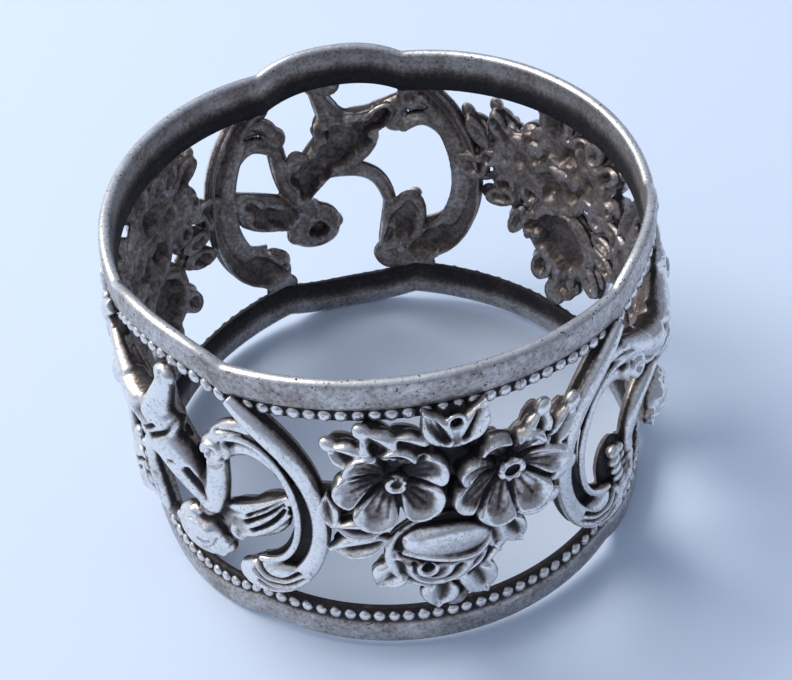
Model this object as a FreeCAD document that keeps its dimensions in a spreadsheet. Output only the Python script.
import FreeCAD, Part
import math
import os

from FreeCAD import Vector

# A cast openwork napkin ring, +Z up, standing as it rests on a table.
# The origin is on the ring's axis, on the plane that it stands on.
# Round the wall, three flower bouquets alternate with three putto panels,
# between two rims that rise in an arch over every panel.

os.makedirs("parts", exist_ok=True)
doc = FreeCAD.newDocument("napkin_ring")


# The driving sizes
sizes = doc.addObject("Spreadsheet::Sheet", "Sizes")
SIZES = [
    ("bore_radius", 23.9, "inside of the rims"),
    ("wall", 1.1, "thickness of the plain bands"),
    ("root_depth", 0.8, "how far the forms start inside the bore, before it is cut"),
    ("groove_depth", 0.45, "groove that holds the beads"),
    ("panel_count", 3, "bouquets, and also putti"),
    ("putto_angle", 35.7, "degrees of rim over a putto"),
    ("cusp_height", 32.0, "height of the ring where two panels meet"),
    ("putto_rise", 1.38, "rise of the arch over a putto"),
    ("bouquet_rise", 0.7, "rise of the arch over a bouquet"),
    ("arch_power", 2.6, "shape of an arch: 2 is a parabola"),
    ("foot_wear", 0.06, "worn off each arch that the ring stands on"),
    ("band_height", 2.75, "plain band, from the crest"),
    ("shoulder", 0.5, "slope from the plain band down into the groove"),
    ("rim_height", 4.4, "whole rim, from the crest to the windows"),
    ("crest_round", 0.5, "rounding of the crest"),
    ("bead_rise", 0.45, "a bead, over the floor of its groove"),
    ("bead_pitch", 1.32, "from bead to bead"),
    ("back_clearance", 0.12, "the ornament's back lies this far behind the bore"),
    ("back_sides", 18, "flats on the ornament's back, all round"),
    ("relief_rise", 1.2, "flowers and scrolls, over the bands"),
    ("figure_rise", 2.0, "the putto, over the bands"),
    ("drawn_radius", 25.0, "radius that the ornament was drawn for"),
    ("drawn_window", 23.2, "window height that the ornament was drawn for"),
]
for row, (alias, value, words) in enumerate(SIZES, start=1):
    sizes.set(f"A{row}", words)
    sizes.set(f"B{row}", str(value))
    sizes.setAlias(f"B{row}", alias)
doc.recompute()

outer_radius = sizes.bore_radius + sizes.wall
groove_radius = outer_radius - sizes.groove_depth
root_radius = sizes.bore_radius - sizes.root_depth
panel_turn = 360.0 / sizes.panel_count
bouquet_angle = panel_turn - sizes.putto_angle
mid_height = sizes.cusp_height / 2 + sizes.putto_rise - sizes.foot_wear
window_height = sizes.cusp_height - 2 * sizes.rim_height


# Places on the wall
# Rims are placed by degrees round the axis and by mm over mid-height.
# The ornament is drawn flat, in mm to the right and up from the middle of its
# panel, and the drawing is stretched to the panel that it fills.
stretch_up = window_height / sizes.drawn_window
putto_middle = math.radians(panel_turn / 2) * sizes.drawn_radius


def around(degrees, up, radius):
    """The point at an angle from the front, a height over the middle and a radius."""
    turn = math.radians(degrees)
    return Vector(radius * math.sin(turn), -radius * math.cos(turn), up + mid_height)


def facing(degrees):
    """Directions to the right, up and outwards at an angle from the front."""
    turn = math.radians(degrees)
    right = Vector(math.cos(turn), math.sin(turn), 0)
    outward = Vector(math.sin(turn), -math.cos(turn), 0)
    return right, Vector(0, 0, 1), outward


def drawn_at(along, up, radius):
    """The point on the wall for a place in the flat drawing."""
    return around(math.degrees(along / sizes.drawn_radius), up * stretch_up, radius)


def drawn_step(along, side, rise):
    """A step in the flat drawing, as a vector in the plane that touches the wall."""
    right, upward, outward = facing(math.degrees(along / sizes.drawn_radius))
    return right * side * outer_radius / sizes.drawn_radius + upward * rise * stretch_up


# Solids with flat faces
def facets(one, two, three, four):
    """A four-cornered face, or two triangles where the corners lie out of plane."""
    normal = (two - one).cross(three - one)
    if abs(normal.dot(four - one)) < 1e-7 * normal.Length:
        return [Part.Face(Part.makePolygon([one, two, three, four, one]))]
    return [
        Part.Face(Part.makePolygon([one, two, three, one])),
        Part.Face(Part.makePolygon([one, three, four, one])),
    ]


def closed(faces):
    """The solid that the faces enclose, with its outside out."""
    solid = Part.Solid(Part.Shell(faces))
    if solid.Volume < 0:
        solid.reverse()
    return solid


def solid_through(rings, endless=False):
    """A solid through rings of points, one after another."""
    faces = []
    if not endless:
        for ring in (rings[0], rings[-1]):
            faces.append(Part.Face(Part.makePolygon(ring + [ring[0]])))
    following = rings[1:] + rings[:1] if endless else rings[1:]
    for low, high in zip(rings, following):
        for here in range(len(low)):
            there = (here + 1) % len(low)
            faces += facets(low[here], low[there], high[there], high[here])
    return closed(faces)


# Petals, leaves and balls, each with its own outline and crown
# A crown lists rings as (share of the height over the root, share of the outline).
PETAL = [(0, 1.25), (1, 0.62)]
LEAF = [(0, 1.2), (1, 0.42)]
BALL = [(0, 0.8), (0.55, 1.0), (0.84, 0.84), (1, 0.4)]
GROUND = [(0, 1.0), (1, 0.9)]


def mound(along, up, length, width, turn, rise, sides=5, crown=PETAL):
    """One form that stands on the wall, turned to its place. rise is over the bands."""
    turn = math.radians(turn)
    top = outer_radius + rise
    rings = []
    for height, share in crown:
        middle = drawn_at(along, up, root_radius + height * (top - root_radius))
        ring = []
        for side in range(sides):
            step = 2 * math.pi * side / sides
            reach = length / 2 * math.cos(step) * share
            spread = width / 2 * math.sin(step) * share
            across = reach * math.cos(turn) - spread * math.sin(turn)
            upward = reach * math.sin(turn) + spread * math.cos(turn)
            ring.append(middle + drawn_step(along, across, upward))
        rings.append(ring)
    return solid_through(rings)


# Bars that run along the wall through stations of (along, up, width, rise)
# A section lists corners as (share of half the width, share of the height).
CHANNELLED = [(-1, 0), (-0.8, 0.9), (-0.25, 0.6), (0.15, 1), (0.75, 1), (1, 0)]
FLAT = [(-1, 0), (-1, 1), (1, 1), (1, 0)]
LIMB = [(-1.1, 0), (-0.85, 0.8), (0, 1), (0.85, 0.8), (1.1, 0)]


def bar(stations, section):
    rings = []
    last = len(stations) - 1
    for index, (along, up, width, rise) in enumerate(stations):
        before = stations[max(index - 1, 0)]
        after = stations[min(index + 1, last)]
        heading = math.atan2(after[1] - before[1], after[0] - before[0])
        top = outer_radius + rise
        ring = []
        for side, height in section:
            middle = drawn_at(along, up, root_radius + height * (top - root_radius))
            spread = side * width / 2
            ring.append(middle + drawn_step(along, -spread * math.sin(heading), spread * math.cos(heading)))
        rings.append(ring)
    return solid_through(rings)


# The two rims: plain band, beaded groove and window edge, over an arch for each panel
BEADS_ON_FLAT = 3


def arch_rise(degrees):
    """Height of the crest over the cusps, at an angle from a bouquet's middle."""
    turn = degrees % panel_turn
    if turn > panel_turn / 2:
        turn -= panel_turn
    if abs(turn) <= bouquet_angle / 2:
        share = abs(turn) / (bouquet_angle / 2)
        return sizes.bouquet_rise * (1 - share ** sizes.arch_power)
    share = (panel_turn / 2 - abs(turn)) / (sizes.putto_angle / 2)
    return sizes.putto_rise * (1 - share ** sizes.arch_power)


def rim_section(degrees, side):
    """The rim's section at an angle. side is 1 for the upper rim, -1 for the lower.

    An arch rises in proportion to the radius, which keeps each flat of the rim plane.
    """
    crest = sizes.cusp_height / 2
    window = crest - sizes.rim_height
    shoulder_foot = crest - sizes.band_height - sizes.shoulder
    round_off = sizes.crest_round
    corners = [
        (root_radius, window),
        (root_radius, crest - round_off / 2),
        ((sizes.bore_radius + outer_radius) / 2, crest),
        (outer_radius - round_off / 3, crest - round_off / 3),
        (outer_radius, crest - round_off * 1.4),
        (outer_radius, crest - sizes.band_height),
        (groove_radius, shoulder_foot),
        (groove_radius, (shoulder_foot + window) / 2),
        (groove_radius, window),
    ]
    slope = arch_rise(degrees) / outer_radius
    return [around(degrees, side * (up + slope * radius), radius) for radius, up in corners]


def polygon(*points):
    return Part.Face(Part.makePolygon(list(points) + [points[0]]))


def spaced(one, two, share):
    """Points between two ends, at (index + share) of each bead's part of the way."""
    return [one + (two - one) * (index + share) / BEADS_ON_FLAT for index in range(BEADS_ON_FLAT)]


def beading(low, high):
    """The rim's faces from the shoulder to the window edge, with the beads between."""
    tops = spaced(low[6], high[6], 0.5)
    bottoms = spaced(low[8], high[8], 0.5)
    sides = spaced(low[7], high[7], 0) + [high[7]]
    middle = (low[7] + high[7]) / 2
    outward = Vector(middle.x, middle.y, 0).normalize()
    faces = [
        polygon(low[5], low[6], *tops, high[6], high[5]),
        polygon(low[6], low[7], tops[0]),
        polygon(low[7], low[8], bottoms[0]),
        polygon(tops[-1], high[7], high[6]),
        polygon(high[7], bottoms[-1], high[8]),
        polygon(low[8], low[0], high[0], high[8], *bottoms[::-1]),
    ]
    for index, (top, bottom) in enumerate(zip(tops, bottoms)):
        apex = (top + bottom) / 2 + outward * sizes.bead_rise
        corners = [sides[index], bottom, sides[index + 1], top]
        for corner in range(4):
            faces.append(polygon(corners[corner - 1], corners[corner], apex))
        if index:
            faces.append(polygon(tops[index - 1], sides[index], top))
            faces.append(polygon(sides[index], bottoms[index - 1], bottom))
    return faces


def rim(side):
    """One rim, all round, in short flats that carry a few beads each."""
    sections = []
    for panel in range(int(sizes.panel_count)):
        start = panel * panel_turn - bouquet_angle / 2
        for first, span in ((start, bouquet_angle), (start + bouquet_angle, sizes.putto_angle)):
            length = math.radians(span) * outer_radius
            steps = max(1, round(length / sizes.bead_pitch / BEADS_ON_FLAT))
            sections += [rim_section(first + span * step / steps, side) for step in range(steps)]
    faces = []
    for low, high in zip(sections, sections[1:] + sections[:1]):
        for corner in range(5):
            faces += facets(low[corner], low[corner + 1], high[corner + 1], high[corner])
        faces += beading(low, high)
    return closed(faces)


# A pair of C-scrolls, which face away from the bouquet between them
relief = sizes.relief_rise
SCROLL = [
    (-17.4, 12.6, 2.2, 0.3),
    (-15.2, 10.2, 3.2, relief),
    (-12.9, 5.6, 3.7, relief),
    (-12.1, 1.0, 3.7, relief),
    (-12.8, -3.2, 3.7, relief),
    (-15.3, -8.2, 3.7, relief),
    (-18.6, -8.6, 3.0, relief),
]
SCROLL_VOLUTE = [
    (-15.2, 10.4, 1.8, 0.9),
    (-17.2, 9.9, 1.9, 1.0),
    (-19.6, 7.4, 2.3, 1.5),
]
SCROLL_TOE = [
    (-16.8, -9.4, 3.6, 0.6),
    (-18.2, -12.4, 3.6, -0.1),
]


def mirrored(stations):
    return [(-along, up, width, rise) for along, up, width, rise in stations]


def scrolls():
    forms = []
    for stations, section in ((SCROLL, CHANNELLED), (SCROLL_VOLUTE, LIMB), (SCROLL_TOE, FLAT)):
        forms.append(bar(stations, section))
        forms.append(bar(mirrored(stations), section))
    return forms


# The bouquet: two open roses over one large one, with their leaves
# Each form is (along, up, length, width, turn).
LEFT_ROSE = [
    (-6.8, 8.3, 2.9, 2.3, 30),
    (-8.0, 5.3, 2.8, 2.2, 100),
    (-6.0, 2.6, 3.2, 3.0, 60),
    (-2.4, 4.0, 3.3, 2.8, 160),
    (-1.6, 7.6, 3.2, 2.4, 80),
    (-3.8, 9.3, 2.6, 1.6, 0),
]
RIGHT_ROSE = [
    (2.1, 6.2, 2.7, 2.2, 60),
    (1.7, 3.3, 3.4, 2.7, 100),
    (4.0, 0.9, 3.5, 3.0, 140),
    (6.9, 1.1, 3.4, 3.2, 40),
    (8.6, 4.6, 3.6, 2.5, 160),
    (9.9, 1.8, 2.5, 2.4, 0),
    (6.9, 7.6, 2.4, 2.4, 90),
    (4.0, 8.4, 2.7, 1.9, 0),
]
UPPER_LEAVES = [
    (-8.0, 9.8, 4.6, 2.0, 155),
    (-5.3, 11.2, 3.8, 2.2, 125),
    (-3.2, 10.4, 4.6, 1.7, 145),
    (7.7, 9.4, 2.8, 1.9, 80),
    (9.2, 7.4, 5.4, 2.2, 55),
]
LOWER_LEAVES = [
    (-7.2, 0.8, 4.8, 1.7, 178),
    (-6.8, -1.4, 6.4, 1.9, 18),
    (-5.4, -5.2, 4.4, 2.2, 60),
    (-1.0, -9.0, 6.2, 3.4, 90),
    (2.0, -8.6, 6.4, 3.0, 75),
    (3.9, -3.2, 4.2, 1.9, 105),
    (5.3, -3.1, 5.4, 2.3, 100),
    (7.0, -1.4, 5.4, 2.4, 135),
    (-10.2, 2.4, 3.4, 1.7, 90),
]
# The web that holds the flowers together
BOUQUET_GROUND = [
    (-4.6, 6.0, 7.6, 6.4, 20),
    (4.9, 4.6, 9.6, 8.0, 0),
    (0.2, 8.3, 7.0, 3.0, 0),
    (0.0, 3.4, 7.0, 5.4, 0),
    (-9.6, 3.4, 5.0, 1.8, 0),
    (10.4, 3.2, 4.4, 2.0, 0),
]


def bouquet():
    forms = []
    for along, up, length, width, turn in LEFT_ROSE + RIGHT_ROSE:
        forms.append(mound(along, up, length, width, turn, relief))
    for along, up, length, width, turn in UPPER_LEAVES + LOWER_LEAVES:
        forms.append(mound(along, up, length, width, turn, 0.9, sides=4, crown=LEAF))
    for along, up, length, width, turn in BOUQUET_GROUND:
        forms.append(mound(along, up, length, width, turn, 0.2, sides=6, crown=GROUND))
    # the cups of the two open roses
    forms.append(mound(-4.4, 6.4, 2.0, 1.9, 0, 1.4))
    forms.append(mound(5.3, 5.0, 2.6, 2.6, 0, 1.3, sides=6))
    # the large rose, with the fold and the heart that stand out from it
    forms.append(mound(-0.9, -3.0, 9.0, 8.8, 0, 1.4, sides=10))
    forms.append(mound(-0.9, -1.3, 6.4, 3.0, 172, 2.2, sides=6))
    forms.append(mound(-2.0, -4.2, 3.4, 2.6, 150, 1.9))
    forms.append(mound(0.6, -5.2, 3.6, 1.8, 35, 1.8, sides=4))
    # the calyx that hangs from the upper rim
    forms.append(mound(0.6, 11.4, 5.0, 4.6, 90, 0.9))
    forms.append(mound(-0.9, 12.0, 3.8, 1.8, 68, 1.3, sides=4, crown=LEAF))
    forms.append(mound(2.2, 12.0, 3.8, 1.8, 112, 1.3, sides=4, crown=LEAF))
    return forms


# The putto, head down between two scrolls, placed from its own panel's middle
figure = sizes.figure_rise
TORSO = [(-2.0, 6.6, 4.6, figure), (0.6, 4.9, 5.6, figure), (3.0, 2.2, 5.4, figure), (4.8, -0.6, 3.8, 1.6), (3.6, -3.4, 2.6, 1.5)]
STANDING_LEG = [(-2.2, 5.6, 3.0, figure), (-0.6, 8.2, 3.2, figure), (0.7, 10.6, 2.2, 1.8), (1.0, 12.9, 1.9, 0.6)]
BENT_LEG = [(-0.6, 6.2, 3.2, figure), (-3.6, 6.6, 3.0, figure), (-5.6, 8.2, 2.2, 1.6), (-8.2, 9.8, 1.9, 0.8)]
RIGHT_ARM = [(4.6, -0.8, 2.4, 1.6), (6.0, 1.6, 2.2, figure), (6.5, 4.6, 2.0, 1.7), (6.7, 7.4, 2.0, 1.4)]
LEFT_ARM = [
    (3.0, 1.0, 2.2, 1.2),
    (-0.6, 1.2, 2.0, 1.2),
    (-3.8, 1.0, 2.0, 1.0),
    (-5.6, -3.2, 2.0, 0.9),
    (-4.4, -8.2, 2.2, 0.8),
]
HUSK = [(-8.7, -0.9, 1.3, 0.4), (-8.0, -4.4, 3.0, 0.9), (-6.2, -8.4, 4.6, 0.8)]
WING_ROOT = [(3.6, -1.6, 2.8, 0.6), (7.2, -1.4, 3.2, 0.3), (11.6, 0.2, 2.0, 0.0)]
FEATHERS = [(7.4, -2.8, 6.0, 24), (8.2, -1.4, 6.6, 27), (8.6, 0.0, 5.6, 22)]


def putto():
    forms = []
    for stations in (TORSO, STANDING_LEG, BENT_LEG, RIGHT_ARM, LEFT_ARM, HUSK, WING_ROOT):
        placed = [(along + putto_middle, up, width, rise) for along, up, width, rise in stations]
        forms.append(bar(placed, LIMB))
    for along, up, length, turn in FEATHERS:
        forms.append(mound(along + putto_middle, up, length, 1.3, turn, 1.0, sides=4, crown=LEAF))
    forms.append(mound(2.8 + putto_middle, -5.2, 5.2, 5.0, 0, 2.2, sides=8, crown=BALL))
    return forms


# The objects of the document
def add_shape(name, shape):
    feature = doc.addObject("Part::Feature", name)
    feature.Shape = shape
    return feature


forms = scrolls() + bouquet() + putto()
ornament = add_shape("ornament", forms[0].multiFuse(forms[1:]))
back = doc.addObject("Part::Prism", "back")
back.setExpression("Polygon", "Sizes.back_sides")
back.setExpression(
    "Circumradius", "(Sizes.bore_radius + Sizes.back_clearance) / cos(180deg / Sizes.back_sides)"
)
back.setExpression("Height", "Sizes.cusp_height + 4 * Sizes.putto_rise")
panel = doc.addObject("Part::Cut", "panel")
panel.Base = ornament
panel.Tool = back

rims = add_shape("rims", Part.makeCompound([rim(1), rim(-1)]))
bore = doc.addObject("Part::Cylinder", "bore")
bore.setExpression("Radius", "Sizes.bore_radius")
bore.setExpression("Height", "Sizes.cusp_height + 4 * Sizes.putto_rise")
bore.Placement.Base = Vector(0, 0, -1)
table = doc.addObject("Part::Cylinder", "table")
table.setExpression("Radius", "Sizes.bore_radius + Sizes.wall + 5")
table.setExpression("Height", "Sizes.bore_radius")
table.setExpression(".Placement.Base.z", "-Sizes.bore_radius")
bored = doc.addObject("Part::Cut", "bored")
bored.Base = rims
bored.Tool = bore
standing = doc.addObject("Part::Cut", "standing")
standing.Base = bored
standing.Tool = table
doc.recompute()

panels = []
for index in range(int(sizes.panel_count)):
    copy = panel.Shape.copy()
    copy.rotate(Vector(0, 0, 0), Vector(0, 0, 1), index * panel_turn)
    panels.append(add_shape(f"panel_{index + 1}", copy))
ring = doc.addObject("Part::MultiFuse", "ring")
ring.Label = "napkin_ring"
ring.Shapes = [standing] + panels
doc.recompute()

for item in doc.Objects:
    if "Invalid" in item.State or "Error" in item.State:
        raise RuntimeError(f"{item.Name} did not build")
if ring.Shape.isNull() or not ring.Shape.isValid():
    raise RuntimeError("the ring is not a valid solid")
print("solids", len(ring.Shape.Solids), "faces", len(ring.Shape.Faces), "volume", ring.Shape.Volume)
print("box", ring.Shape.BoundBox)
ring.Shape.exportStep(f"parts/{ring.Label}.step")
